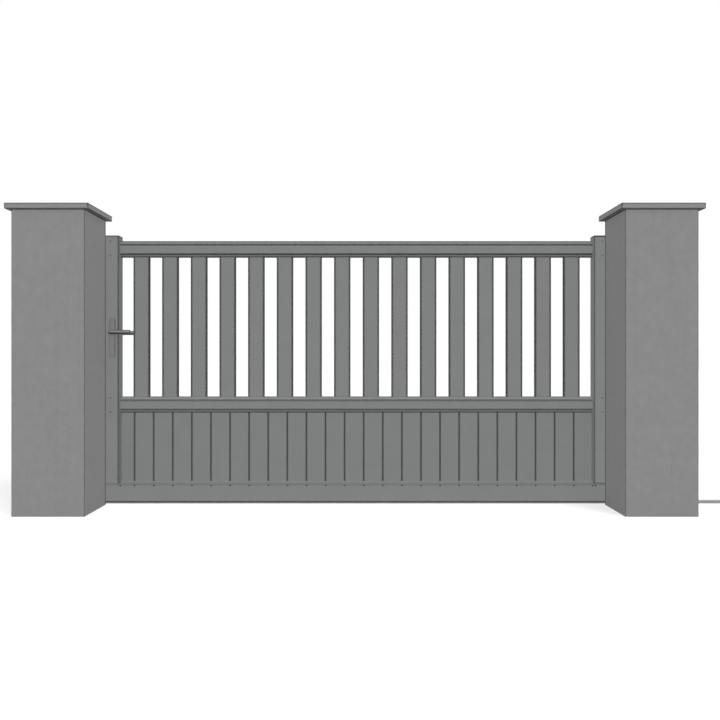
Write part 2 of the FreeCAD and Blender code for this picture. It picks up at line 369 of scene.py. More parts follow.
def standing(place: Place, side: Side) -> Matrix:
    """Return the move that stands a street-facing model at a place on one side of the leaf."""
    turn = Matrix.Identity(4) if side is Side.STREET else Matrix.Rotation(math.pi, 4, "Z")
    return Matrix.Translation(Vector(place)) @ turn


# Shared surface effects

# A mix node's colour sockets come after those for numbers and vectors
MIX_FIRST, MIX_SECOND, MIX_RESULT = 6, 7, 2
BEVEL_SAMPLES = 8
SOFT, BROKEN, RICH, FINE = 2.0, 3.0, 4.0, 5.0


class Graph:
    """A node tree that is wired in short calls.

    Attributes:
        tree: the tree.
        place: the output that says where on the surface a point lies.
    """

    def __init__(self, tree: bpy.types.NodeTree) -> None:
        """Keep the tree that is wired."""
        self.tree = tree
        self.place: Socket | None = None

    @classmethod
    def blank(cls, owner: bpy.types.Material | bpy.types.World) -> "Graph":
        """Return the emptied tree of a material or a world."""
        owner.use_nodes = True
        owner.node_tree.nodes.clear()
        return cls(owner.node_tree)

    def add(self, kind: str, inputs: dict[Any, Any] | None = None, **settings: Any) -> Node:
        """Add a node.

        Args:
            kind: the node's type.
            inputs: a value, or an output to link, for each input by name or number.
            settings: the node's own properties.

        Returns:
            The new node.
        """
        node = self.tree.nodes.new(kind)
        for name, value in settings.items():
            setattr(node, name, value)
        for key, value in (inputs or {}).items():
            if isinstance(value, Socket):
                self.tree.links.new(value, node.inputs[key])
            else:
                node.inputs[key].default_value = value
        return node

    def maths(self, operation: str, *values: Any) -> Socket:
        """Return the result of a sum on one or two values."""
        return self.add("ShaderNodeMath", dict(enumerate(values)), operation=operation).outputs[0]

    def times(self, first: Any, second: Any) -> Socket:
        """Return the product of two values."""
        return self.maths("MULTIPLY", first, second)

    def vector(self, operation: str, *values: Any, output: str = "Vector") -> Socket:
        """Return the result of a sum on one or two vectors."""
        return self.add("ShaderNodeVectorMath", dict(enumerate(values)), operation=operation).outputs[output]

    def part(self, vector: Socket, axis: Axis) -> Socket:
        """Return a vector's part along one axis."""
        return self.add("ShaderNodeSeparateXYZ", {0: vector}).outputs[axis.value]

    def normal(self) -> Socket:
        """Return the way the surface looks."""
        return self.add("ShaderNodeNewGeometry").outputs["Normal"]

    def rounded(self, radius: Socket) -> Socket:
        """Return the way the surface would look with its edges rounded."""
        return self.add("ShaderNodeBevel", {"Radius": radius}, samples=BEVEL_SAMPLES).outputs[0]

    def sideways(self) -> Socket:
        """Return how far the surface looks along X, either way."""
        return self.maths("ABSOLUTE", self.part(self.normal(), Axis.X))

    def span(self, value: Socket, source: Span, target: Span = (0.0, 1.0)) -> Socket:
        """Return a value carried smoothly from one range to another, and held at its ends."""
        labels = ("Value", "From Min", "From Max", "To Min", "To Max")
        inputs = dict(zip(labels, (value, *source, *target)))
        return self.add("ShaderNodeMapRange", inputs, interpolation_type="SMOOTHSTEP").outputs[0]

    def mix(self, share: Any, first: Any, second: Any) -> Socket:
        """Return two colours mixed by a share."""
        inputs = {0: share, MIX_FIRST: opaque(first), MIX_SECOND: opaque(second)}
        return self.add("ShaderNodeMix", inputs, data_type="RGBA").outputs[MIX_RESULT]

    def noise(self, scale: Any, detail: float, place: Socket | None = None) -> Socket:
        """Return a soft random value that changes over the surface."""
        where = self.place if place is None else place
        inputs = {"Vector": where, "Scale": scale, "Detail": detail}
        return self.add("ShaderNodeTexNoise", inputs).outputs[0]

    def stretched(self, scale: Place) -> Socket:
        """Return the place on the surface, scaled differently along each axis."""
        return self.add("ShaderNodeMapping", {"Vector": self.place, "Scale": tuple(scale)}).outputs[0]

    def effect(self, effect: "Effect", **inputs: Any) -> Socket:
        """Place a shared effect, with its inputs by name, and return its mask."""
        inputs["where"] = self.place
        return self.add("ShaderNodeGroup", inputs, node_tree=effect_group(effect)).outputs[0]

    def lay(self, colour: Any, effect: "Effect", over: Any, share: float = 1.0, **inputs: Any) -> Socket:
        """Return a colour with a share of another laid over it where a shared effect shows."""
        return self.mix(self.times(self.effect(effect, **inputs), share), colour, over)


def opaque(colour: Any) -> Any:
    """Return a colour with full alpha, or a socket as it is."""
    return colour if isinstance(colour, Socket) else (*colour, 1.0)


Given = dict[str, Socket]

# Ranges of a measure in which a mask goes from nothing to full, or in which it varies
EDGE_TURN: Span = (0.04, 0.22)
EDGE_UPWARD: Span = (0.01, 0.04)
EDGE_BREAKS: Span = (0.25, 0.55)
EDGE_COVER: Span = (0.85, 1.0)
ARRIS_TURN: Span = (0.1, 0.34)
ARRIS_DOWNWARD: Span = (-0.02, -0.08)
SIDE_SHADE_TURN: Span = (0.3, 0.6)
SIDE_SHADE_BREAKS: Span = (0.2, 0.5)
BACK_SHADE_TURN: Span = (0.5, 0.8)
BACK_SHADE_WOBBLE: Span = (-0.002, 0.002)
UNDERSIDE_SHADE_TURN: Span = (0.35, -0.45)
UNDERSIDE_SHADE_WOBBLE: Span = (-0.1, 0.1)
MOTTLE_SUM: Span = (0.7, 1.3)
SPLASH_SUM: Span = (1.35, 0.35)
DUST_AND_SHADE_BREAKS: Span = (0.3, 0.7)
BROKEN_COVER: Span = (0.8, 1.0)
STREAK_MARKS: Span = (0.52, 0.72)
STREAK_STRETCH = (1.0, 1.0, 0.03)
BRUSH_MARKS: Span = (0.3, 0.7)
BRUSH_SCALE = 6.0
WHOLE: Span = (0.0, 1.0)


def wire_edge_wear(graph: Graph, given: Given) -> Socket:
    """Wire the wear of edges.

    Args:
        graph: the effect's tree.
        given: its inputs: how each axis counts, how the upper edges differ, width and breaks.

    Returns:
        A mask that is full on the edges.
    """
    turn = graph.vector("SUBTRACT", graph.rounded(given["width"]), graph.normal())
    amount = graph.vector("LENGTH", graph.vector("MULTIPLY", turn, given["across"]), output="Value")
    upper = graph.span(graph.part(turn, Axis.Z), EDGE_UPWARD, (1.0, given["above"]))
    edge = graph.span(graph.times(amount, upper), EDGE_TURN)
    return graph.times(edge, graph.span(graph.noise(given["breaks"], BROKEN), EDGE_BREAKS, EDGE_COVER))


def wire_arris(graph: Graph, given: Given) -> Socket:
    """Wire the weathering of a block's rounded arrises.

    Args:
        graph: the effect's tree.
        given: its inputs: how much shows along each axis and on lower arrises, width and breaks.

    Returns:
        A mask that is full on the arrises.
    """
    rounded = graph.rounded(given["width"])
    sides = graph.vector("ABSOLUTE", rounded)
    x, y, z = (graph.part(sides, axis) for axis in Axis)
    between = dict(enumerate((graph.times(y, z), graph.times(z, x), graph.times(x, y))))
    turned = graph.add("ShaderNodeCombineXYZ", between).outputs[0]
    amount = graph.vector("DOT_PRODUCT", turned, given["along"], output="Value")
    lower = graph.span(graph.part(rounded, Axis.Z), ARRIS_DOWNWARD, (1.0, given["below"]))
    edge = graph.times(graph.span(amount, ARRIS_TURN), lower)
    return graph.times(edge, graph.span(graph.noise(given["breaks"], BROKEN), EDGE_BREAKS, BROKEN_COVER))


def wire_side_shade(graph: Graph, given: Given) -> Socket:
    """Return a mask of painted shade on faces that look sideways: reveals, picket sides, bar ends and the
    faces of upright V joints, broken in patches.
    """
    breaks = graph.span(graph.noise(given["breaks"], BROKEN), SIDE_SHADE_BREAKS, BROKEN_COVER)
    return graph.times(graph.span(graph.sideways(), SIDE_SHADE_TURN), breaks)


def wire_back_shade_line(graph: Graph, given: Given) -> Socket:
    """Wire the painted shade line at the back of a block's sides, where the leaf runs past.

    Args:
        graph: the effect's tree.
        given: its inputs: the two places along Y between which it comes up, and breaks.

    Returns:
        A mask of the line.
    """
    wobble = graph.span(graph.noise(given["breaks"], SOFT), WHOLE, BACK_SHADE_WOBBLE)
    depth = graph.maths("ADD", graph.part(graph.place, Axis.Y), wobble)
    line = graph.span(depth, (given["start"], given["end"]))
    return graph.times(line, graph.span(graph.sideways(), BACK_SHADE_TURN))


def wire_underside_shade(graph: Graph, given: Given) -> Socket:
    """Return a mask of painted shade on faces that look down."""
    wobble = graph.span(graph.noise(given["breaks"], SOFT), WHOLE, UNDERSIDE_SHADE_WOBBLE)
    return graph.span(graph.maths("ADD", graph.part(graph.normal(), Axis.Z), wobble), UNDERSIDE_SHADE_TURN)


def wire_mottle(graph: Graph, given: Given) -> Socket:
    """Return a value from 0 to 1 that varies at a coarse and a fine scale."""
    coarse = graph.noise(given["coarse"], RICH)
    return graph.span(graph.maths("ADD", coarse, graph.noise(given["fine"], BROKEN)), MOTTLE_SUM)


def wire_splash(graph: Graph, given: Given) -> Socket:
    """Return a mask that fades from the ground to a height, with a ragged top."""
    share = graph.maths("DIVIDE", graph.part(graph.place, Axis.Z), given["height"])
    return graph.span(graph.maths("ADD", share, graph.noise(given["breaks"], RICH)), SPLASH_SUM)


def wire_dust_and_shade(graph: Graph, given: Given) -> Socket:
    """Return a mask of faces between two values of how far they look up, broken in patches: dust and grime
    on ledges, also laid as painted shade on faces that look up, and painted shade on faces that look down.
    """
    lying = graph.span(graph.part(graph.normal(), Axis.Z), (given["start"], given["end"]))
    return graph.times(lying, graph.span(graph.noise(given["breaks"], FINE), DUST_AND_SHADE_BREAKS, BROKEN_COVER))


def wire_streaks(graph: Graph, given: Given) -> Socket:
    """Return a mask of thin marks that rain leaves down an upright face."""
    return graph.span(graph.noise(given["count"], BROKEN, graph.stretched(STREAK_STRETCH)), STREAK_MARKS)


class Effect(Enum):
    """The effects that several finishes share: how each is wired, and its inputs beside the place."""

    EDGE_WEAR = (wire_edge_wear, {"across": EVEN, "above": 1.0, "width": 0.004, "breaks": 90.0})
    ARRIS = (wire_arris, {"along": EVEN, "below": 1.0, "width": 0.006, "breaks": 120.0})
    # Painted shade on faces that look sideways
    REVEAL_GRIME = (wire_side_shade, {"breaks": 60.0})
    # Painted shade line along the back of a block's sides
    BACK_STAIN = (wire_back_shade_line, {"start": -0.1, "end": -0.085, "breaks": 90.0})
    # Painted shade on faces that look down
    UNDERSIDE = (wire_underside_shade, {"breaks": 200.0})
    MOTTLE = (wire_mottle, {"coarse": 30.0, "fine": 180.0})
    SPLASH = (wire_splash, {"height": 0.2, "breaks": 18.0})
    # Dust on ledges, also used as painted shade on faces that look up and on faces that look down
    DUST = (wire_dust_and_shade, {"start": 0.1, "end": 0.45, "breaks": 40.0})
    STREAKS = (wire_streaks, {"count": 60.0})


def effect_group(effect: Effect) -> bpy.types.NodeTree:
    """Build the node group of an effect, the first time it is asked for.

    Args:
        effect: the effect.

    Returns:
        The group.
    """
    name = effect.name.lower()
    built = bpy.data.node_groups.get(name)
    if built:
        return built
    wire, inputs = effect.value
    tree = bpy.data.node_groups.new(name, "ShaderNodeTree")
    tree.interface.new_socket("where", in_out="INPUT", socket_type="NodeSocketVector")
    for label, default in inputs.items():
        kind = "NodeSocketFloat" if isinstance(default, float) else "NodeSocketVector"
        tree.interface.new_socket(label, in_out="INPUT", socket_type=kind).default_value = default
    tree.interface.new_socket("mask", in_out="OUTPUT", socket_type="NodeSocketFloat")
    graph = Graph(tree)
    entry = graph.add("NodeGroupInput").outputs
    graph.place = entry["where"]
    mask = wire(graph, {label: entry[label] for label in inputs})
    graph.add("NodeGroupOutput", {"mask": mask})
    return tree


# Finishes

GRAINS_IN_FLOAT_MARK = 12


@dataclass(frozen=True)
class Finish:
    """A finish that can be laid on a piece.

    Attributes:
        name: the material's name.
        colour: its main colour, linear.
        roughness: its mean roughness.
    """

    name: str
    colour: Colour
    roughness: float

    def material(self) -> bpy.types.Material:
        """Return the finish as a material, built the first time it is asked for."""
        built = bpy.data.materials.get(self.name)
        if built:
            return built
        material = bpy.data.materials.new(self.name)
        graph = Graph.blank(material)
        shader = graph.add("ShaderNodeBsdfPrincipled")
        graph.add("ShaderNodeOutputMaterial", {"Surface": shader.outputs[0]})
        graph.place = graph.add("ShaderNodeTexCoord").outputs["Object"]
        self.wire(graph, shader)
        return material

    def wire(self, graph: Graph, shader: Node) -> None:
        """Drive the shader from nodes."""
        raise NotImplementedError

    def tint(self, tone: float) -> Colour:
        """Return the main colour made lighter or darker."""
        return tuple(part * tone for part in self.colour)

    def varied(self, graph: Graph, share: Socket, spread: float) -> Socket:
        """Return the main colour, varied below and above by a share."""
        return graph.mix(share, self.tint(1 - spread), self.tint(1 + spread))

    def connect(self, graph: Graph, shader: Node, colour: Socket, wear: Socket, swing: Span) -> None:
        """Link a colour and a roughness to the shader.

        Args:
            graph: the material's tree.
            shader: its shader.
            colour: the colour.
            wear: what the roughness varies with, from 0 to 1.
            swing: how far it varies below and above its mean.
        """
        low, high = swing
        rough = graph.span(wear, WHOLE, (self.roughness + low, self.roughness + high))
        graph.tree.links.new(colour, shader.inputs["Base Color"])
        graph.tree.links.new(rough, shader.inputs["Roughness"])

    def raise_grain(self, graph: Graph, shader: Node, height: Socket, depth: float) -> None:
        """Link a height to the shader as bump of a real depth."""
        bump = graph.add("ShaderNodeBump", {"Strength": 1.0, "Distance": depth, "Height": height})
        graph.tree.links.new(bump.outputs[0], shader.inputs["Normal"])


@dataclass(frozen=True)
class Masonry(Finish):
    """Render or cast stone: mottled, sandy, softly stained by rain and by the ground, with painted shade on
    faces that look down and a painted shade line along the back of its sides.

    Attributes:
        spread: how far the mottling goes above and below the main colour.
        coarse, fine, sand: blotches, specks and grains in a metre.
        sand_depth: height of the grains.
        edge_width: how far the arrises are weathered.
        edge_along: how much the arrises along each axis are weathered.
        edge_below: how much the lower arrises are weathered.
        edge_tone, splash_tone, back_shade_tone, soffit_shade_tone: share of the colour left on the arrises,
        in the stain from the ground, in the painted shade line along the back, and in the painted shade on
        faces that look down.
        splash_height: how far the ground stains it.
        back_shade: how much of a painted shade line shows along the back of its sides, where the leaf runs
            past.
        gloss: strength of its highlights.
    """

    spread: float = 0.05
    coarse: float = 26.0
    fine: float = 150.0
    sand: float = 620.0
    sand_depth: float = 0.0005
    edge_width: float = 0.007
    edge_along: Place = EVEN
    edge_below: float = 1.0
    edge_tone: float = 0.45
    splash_height: float = 0.16
    splash_tone: float = 0.95
    back_shade: float = 0.0
    back_shade_tone: float = 0.25
    soffit_shade_tone: float = 0.62
    gloss: float = 0.25

    def wire(self, graph: Graph, shader: Node) -> None:
        """Drive the shader from nodes."""
        mottle = graph.effect(Effect.MOTTLE, coarse=self.coarse, fine=self.fine)
        colour = self.varied(graph, mottle, self.spread)
        colour = graph.lay(colour, Effect.STREAKS, self.tint(tone=0.86), share=0.25, count=45.0)
        splash = {"height": self.splash_height, "breaks": 16.0}
        colour = graph.lay(colour, Effect.SPLASH, self.tint(self.splash_tone), **splash)
        # Painted shade: a dark line along the back of the sides, next to the leaf
        colour = graph.lay(colour, Effect.BACK_STAIN, self.tint(self.back_shade_tone), share=self.back_shade)
        # Painted shade on faces that look down, such as the soffits
        soffit_shade = {"start": -0.5, "end": -0.9, "breaks": 30.0}
        colour = graph.lay(colour, Effect.DUST, self.tint(self.soffit_shade_tone), **soffit_shade)
        edge = {"along": self.edge_along, "below": self.edge_below, "width": self.edge_width}
        colour = graph.lay(colour, Effect.ARRIS, self.tint(self.edge_tone), **edge)
        self.connect(graph, shader, colour, mottle, swing=(-0.06, 0.05))
        floats = graph.noise(self.sand / GRAINS_IN_FLOAT_MARK, SOFT)
        grains = graph.maths("ADD", graph.noise(self.sand, BROKEN), floats)
        self.raise_grain(graph, shader, grains, self.sand_depth)
        shader.inputs["Specular IOR Level"].default_value = self.gloss


@dataclass(frozen=True)
class Coating(Finish):
    """A coloured coat on metal or plastic: fine peel, thinner and darker on the edges, dusty on top with the
    dust laid on as painted shade too, and with painted shade on faces that look sideways.

    Attributes:
        under: the darker primer that shows where the coat is thin, and the colour of the painted shade on
            faces that look sideways.
        edge_width: how far from an edge the coat is thin.
        edge_turn: how much each axis counts in finding an edge.
        edge_above: how wide the upper edges are, as a share of the others.
        edge_share: how much of the primer shows there.
        side_shade_share: how much painted shade shows on faces that look sideways: reveals, picket sides and
            V joints.
        spread: how far the colour varies.
        peel, peel_depth: waves of the coat in a metre, and their height.
        dust, dust_and_shade_colour: how much dust shows on top faces, laid on as painted shade that darkens
            what the light from above brightens, and its colour.
        splash_colour: colour of what splashes up from the ground.
        gloss: strength of its highlights.
    """

    under: Colour = (0.03, 0.031, 0.031)
    edge_width: float = 0.01
    edge_turn: Place = EVEN
    edge_above: float = 1.0
    edge_share: float = 0.95
    side_shade_share: float = 0.06
    spread: float = 0.03
    peel: float = 520.0
    peel_depth: float = 0.00012
    dust: float = 0.9
    dust_and_shade_colour: Colour = (0.1, 0.1, 0.098)
    splash_colour: Colour = (0.25, 0.24, 0.22)
    gloss: float = 0.1

    def wire(self, graph: Graph, shader: Node) -> None:
        """Drive the shader from nodes."""
        mottle = graph.effect(Effect.MOTTLE, coarse=7.0, fine=260.0)
        colour = self.varied(graph, mottle, self.spread)
        # Dust on faces that look up, also painted shade against the light from above
        colour = graph.lay(colour, Effect.DUST, self.dust_and_shade_colour, share=self.dust, breaks=60.0)
        colour = graph.lay(colour, Effect.SPLASH, self.splash_colour, share=0.25, height=0.07, breaks=45.0)
        edge = {"across": self.edge_turn, "above": self.edge_above, "width": self.edge_width, "breaks": 70.0}
        colour = graph.lay(colour, Effect.EDGE_WEAR, self.under, share=self.edge_share, **edge)
        # Painted shade on faces that look sideways
        colour = graph.lay(colour, Effect.REVEAL_GRIME, self.under, share=self.side_shade_share, breaks=50.0)
        self.connect(graph, shader, colour, mottle, swing=(-0.05, 0.05))
        self.raise_grain(graph, shader, graph.noise(self.peel, SOFT), self.peel_depth)
        shader.inputs["Specular IOR Level"].default_value = self.gloss


@dataclass(frozen=True)
class BareMetal(Finish):
    """Metal with no coat: grained, smudged, and bright where it is rubbed, with painted shade on faces that
    look down and on ends that look along X.

    Attributes:
        grain, grain_depth: the pattern that its making left, and its height.
        metal: how metallic it looks.
        spread: how far the grain varies the colour.
        rub: colour of the rubbed edges, as a share of the main colour.
        edge_width: how far the edges are rubbed.
        underside_shade_share, grime, ends: how much painted shade the faces that look down take, how dark
            the faces that look straight up have gone, and how much painted shade the ends that look along X
            take.
    """

    grain: Grain = Grain.SPANGLE
    metal: float = 0.8
    spread: float = 0.12
    grain_depth: float = 0.00006
    rub: float = 1.3
    edge_width: float = 0.0015
    underside_shade_share: float = 0.2
    grime: float = 0.2
    ends: float = 0.0

    def wire(self, graph: Graph, shader: Node) -> None:
        """Drive the shader from nodes."""
        grain = self.pattern(graph)
        colour = self.varied(graph, grain, self.spread)
        smudges = {"coarse": 14.0, "fine": 120.0}
        colour = graph.lay(colour, Effect.MOTTLE, self.tint(tone=0.88), share=0.25, **smudges)
        # Painted shade on faces that look down
        colour = graph.lay(colour, Effect.UNDERSIDE, self.tint(tone=0.1), share=self.underside_shade_share)
        above = {"start": 0.5, "end": 0.75, "breaks": 90.0}
        colour = graph.lay(colour, Effect.DUST, self.tint(tone=0.08), share=self.grime, **above)
        # Painted shade on ends that look along X
        colour = graph.lay(colour, Effect.REVEAL_GRIME, self.tint(tone=0.12), share=self.ends, breaks=90.0)
        edge = {"width": self.edge_width, "breaks": 160.0}
        colour = graph.lay(colour, Effect.EDGE_WEAR, self.tint(self.rub), share=0.8, **edge)
        self.connect(graph, shader, colour, graph.effect(Effect.MOTTLE, **smudges), swing=(-0.08, 0.1))
        self.raise_grain(graph, shader, grain, self.grain_depth)
        shader.inputs["Metallic"].default_value = self.metal

    def pattern(self, graph: Graph) -> Socket:
        """Wire the grain.

        Args:
            graph: the material's tree.

        Returns:
            A value from 0 to 1.
        """
        stretched = graph.stretched(self.grain.value)
        if self.grain is Grain.SPANGLE:
            cells = graph.add("ShaderNodeTexVoronoi", {"Vector": stretched, "Scale": 1.0})
            return graph.add("ShaderNodeSeparateColor", {0: cells.outputs["Color"]}).outputs[0]
        return graph.span(graph.noise(BRUSH_SCALE, BROKEN, stretched), BRUSH_MARKS)


@dataclass(frozen=True)
class Moulding(Finish):
    """Rubber or nylon: fine pored skin with a dusty bloom.

    Attributes:
        pores, pore_depth: pores in a metre, and their depth.
        bloom: colour of the dusty film that clings to it.
    """

    pores: float = 900.0
    pore_depth: float = 0.0002
    bloom: Colour = (0.09, 0.088, 0.084)

    def wire(self, graph: Graph, shader: Node) -> None:
        """Drive the shader from nodes."""
        blotches = {"coarse": 22.0, "fine": 300.0}
        colour = graph.lay(self.colour, Effect.MOTTLE, self.bloom, share=0.4, **blotches)
        colour = graph.lay(colour, Effect.EDGE_WEAR, self.bloom, share=0.5, width=0.002, breaks=120.0)
        self.connect(graph, shader, colour, graph.effect(Effect.MOTTLE, **blotches), swing=(-0.08, 0.08))
        self.raise_grain(graph, shader, graph.noise(self.pores, SOFT), self.pore_depth)


# The render's dark line at the back of its sides and the stone's dark soffits are painted shade
RENDER_COAT = Masonry("render_coat", (0.262, 0.262, 0.262), 0.9, edge_along=(0.0, 0.0, 1.0), back_shade=0.9)
CAST_STONE = Masonry(
    "cast_stone", (0.265, 0.265, 0.263), 0.84, spread=0.045, coarse=40.0, fine=260.0, sand=900.0,
    sand_depth=0.0003, edge_width=0.0115, edge_below=0.3, edge_tone=0.1, splash_height=0.001,
    soffit_shade_tone=0.12,
)
BED_MORTAR = Masonry("bed_mortar", (0.225, 0.223, 0.22), 0.94, sand=500.0, splash_height=0.001)
STILE_GREY = (0.226, 0.2335, 0.2305)
COAT_GREY = (0.22, 0.2275, 0.2245)
# A dark primer, also the colour of the painted shade on faces that look sideways
PRIMER_AND_SHADE = (0.02, 0.021, 0.021)
POWDER_COAT = Coating("powder_coat_grey", STILE_GREY, 0.6, edge_width=0.008)
# The leading stile's reveal carries painted shade
LEADING_COAT = Coating(
    "leading_stile_coat_grey", STILE_GREY, 0.6, edge_width=0.0115, edge_turn=(1.0, 0.3, 0.0),
    side_shade_share=0.24,
)
# The rails' dust on faces that look up is also painted shade against the light from above
TOP_COAT = Coating(
    "top_rail_coat_grey", COAT_GREY, 0.6, PRIMER_AND_SHADE,
    edge_width=0.011, edge_turn=UP[:], edge_above=1.3, dust=0.6,
)
MID_COAT = Coating(
    "mid_rail_coat_grey", COAT_GREY, 0.6, PRIMER_AND_SHADE,
    edge_width=0.0135, edge_turn=UP[:], edge_above=0.25, dust=0.05,
)
FOOT_COAT = Coating(
    "foot_rail_coat_grey", COAT_GREY, 0.6, PRIMER_AND_SHADE,
    edge_width=0.014, edge_turn=UP[:], edge_above=0.12, dust=0.45,
)
# The pickets' sides and the boards' V joints carry painted shade
PICKET_COAT = Coating("picket_coat_grey", COAT_GREY, 0.6, PRIMER_AND_SHADE, edge_width=0.015, side_shade_share=0.9)
BOARD_COAT = Coating(
    "board_coat_grey", (0.212, 0.219, 0.216), 0.6, PRIMER_AND_SHADE, edge_width=0.003, side_shade_share=0.53,
)
SCREW_COAT = Coating("screw_coat_grey", (0.18, 0.186, 0.183), 0.5, edge_width=0.0012, edge_share=0.6)
LID_PLASTIC = Coating(
    "lid_plastic_grey", (0.21, 0.217, 0.214), 0.6, edge_share=0.8, peel=800.0, peel_depth=0.0001,
)
GALVANISED = BareMetal("galvanised_steel", (0.42, 0.43, 0.44), 0.48)
WHEEL_STEEL = BareMetal("turned_steel", (0.4, 0.4, 0.41), 0.35, grain=Grain.BRUSHED_X)
SCREW_STEEL = BareMetal("dark_screw_steel", (0.03, 0.03, 0.03), 0.5, grain=Grain.BRUSHED_X, metal=0.3)
# The lever's dark underside and ends, and the plate's dark ends, are painted shade
LEVER_ALLOY = BareMetal(
    "satin_lever_alloy", (0.29, 0.29, 0.285), 0.4, grain=Grain.BRUSHED_X, metal=0.3, underside_shade_share=0.72,
    grime=0.95, ends=0.9, rub=0.35, edge_width=0.004,
)
PLATE_ALLOY = BareMetal(
    "warm_plate_alloy", (0.255, 0.255, 0.251), 0.5, grain=Grain.BRUSHED_Z, metal=0.2, spread=0.03,
    rub=0.12, edge_width=0.005, ends=0.7,
)
PLATE_TRIM = BareMetal(
    "plate_trim_alloy", (0.19, 0.19, 0.186), 0.45, grain=Grain.BRUSHED_X, metal=0.3, rub=0.8,
)
BUFFER_RUBBER = Moulding("buffer_rubber", (0.028, 0.028, 0.029), 0.78)
ROLLER_NYLON = Moulding("roller_nylon", (0.045, 0.045, 0.05), 0.5, pores=600.0, pore_depth=0.00008)

FINISHES: dict[Slot, Finish] = {
    Slot.RENDER: RENDER_COAT,
    Slot.COPING: CAST_STONE,
    Slot.POWDER_COAT: POWDER_COAT,
    Slot.GALVANISED: GALVANISED,
    Slot.RUBBER: BUFFER_RUBBER,
    Slot.NYLON: ROLLER_NYLON,
    Slot.WHEEL_STEEL: WHEEL_STEEL,
    Slot.CAP_PLASTIC: LID_PLASTIC,
    Slot.LEVER_ALLOY: LEVER_ALLOY,
    Slot.PLATE_ALLOY: PLATE_ALLOY,
}

# Imported nodes of the leaf whose coat has its own edge wear, dust and painted shade
OWN_COATS: dict[str, Finish] = {
    "left_stile": LEADING_COAT,
    "lower_boards": BOARD_COAT,
    "top_rail": TOP_COAT,
    "mid_rail": MID_COAT,
    "bottom_rail": FOOT_COAT,
}


def dress(piece: Piece, finish: Finish) -> None:
    """Lay one finish all over a piece."""
    piece.data.materials.clear()
    piece.data.materials.append(finish.material())


def fit(piece: Piece, body: Body, finish: Finish, replaced: Sequence[str] = ()) -> None:
    """Finish a modelled piece and set it on the frame.

    Args:
        piece: the piece, in place.
        body: the body that it moves with.
        finish: what it is finished with.
        replaced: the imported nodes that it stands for.
    """
    smooth(piece)
    dress(piece, finish)
    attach(piece, body.value)
    if replaced:
        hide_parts(*replaced)
    log.info("%s: %d faces on %s", piece.name, len(piece.data.polygons), body.value)


# Posts


@dataclass
class Pillar:
    """A masonry pillar under a floated coat of render, with a mortar bed under its coping.

    Attributes:
        node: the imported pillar.
        corner: radius of its upright corners.
        cell: size of the mesh cells that carry the unevenness.
        unevenness, wave, wave_detail: depth and width of the hollows that the float leaves, and
            how many sizes of finer ones lie in each.
        bed, bed_inset: height of the mortar bed, and how far it is raked back.
    """

    node: str
    corner: float = 0.003
    cell: float = 0.014
    unevenness: float = 0.0012
    wave: float = 0.06
    wave_detail: int = 2
    bed: float = 0.003
    bed_inset: float = 0.003

    def build(self) -> None:
        """Model the coat of render and the mortar bed."""
        low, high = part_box(self.node)
        coat = block(f"{self.node}_coat", low, high - UP * self.bed)
        with editing(coat):
            ease(coat, running(Axis.Z), self.corner)
            for axis in (Axis.Z, Axis.X, Axis.Y):
                slice_along(coat, axis, self.cell)
        hollows = bpy.data.textures.new(f"{self.node}_hollows", "CLOUDS")
        hollows.noise_scale = self.wave
        hollows.noise_depth = self.wave_detail
        apply_modifier(coat, "DISPLACE", texture=hollows, strength=self.unevenness, mid_level=1.0)
        fit(coat, Body.POSTS, RENDER_COAT, [self.node])
        inset = Vector((self.bed_inset, self.bed_inset, 0))
        foot = Vector((low.x, low.y, high.z - self.bed))
        bed = block(f"{self.node}_bed", foot + inset, high - inset)
        with editing(bed):
            ease(bed, running(Axis.Z), self.corner, FEW_STEPS)
        fit(bed, Body.POSTS, BED_MORTAR)


@dataclass
class Coping:
    """A cast slab on a pillar, with eased edges and a drip groove underneath.

    Attributes:
        node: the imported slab.
        edge: radius of its edges.
        drip_inset, drip_width, drip_depth: the drip groove's place inside the edge, width and depth.
    """

    node: str
    edge: float = 0.003
    drip_inset: float = 0.010
    drip_width: float = 0.008
    drip_depth: float = 0.006

    def build(self) -> None:
        """Model the slab."""
        low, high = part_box(self.node)
        slab = block(f"{self.node}_slab", low, high)
        with editing(slab):
            ease(slab, lambda edge: True, self.edge)
            pick(slab, Element.FACE, facing(DOWN))
            bpy.ops.mesh.inset(thickness=self.drip_inset - self.edge)
            bpy.ops.mesh.inset(thickness=self.drip_width)
            pick(slab, Element.FACE, lambda face: facing(DOWN)(face) and self.in_groove(face, low, high))
            push(UP * self.drip_depth)
        fit(slab, Body.POSTS, CAST_STONE, [self.node])

    def in_groove(self, face: Any, low: Vector, high: Vector) -> bool:
        """Return whether a lower face belongs to the ring of the drip groove.

        Args:
            face: the face.
            low: the slab's lowest corner.
            high: its highest corner.

        Returns:
            True inside the ring.
        """
        middle = face.calc_center_median()
        inward = min(middle.x - low.x, high.x - middle.x, middle.y - low.y, high.y - middle.y)
        return self.drip_inset < inward < self.drip_inset + self.drip_width


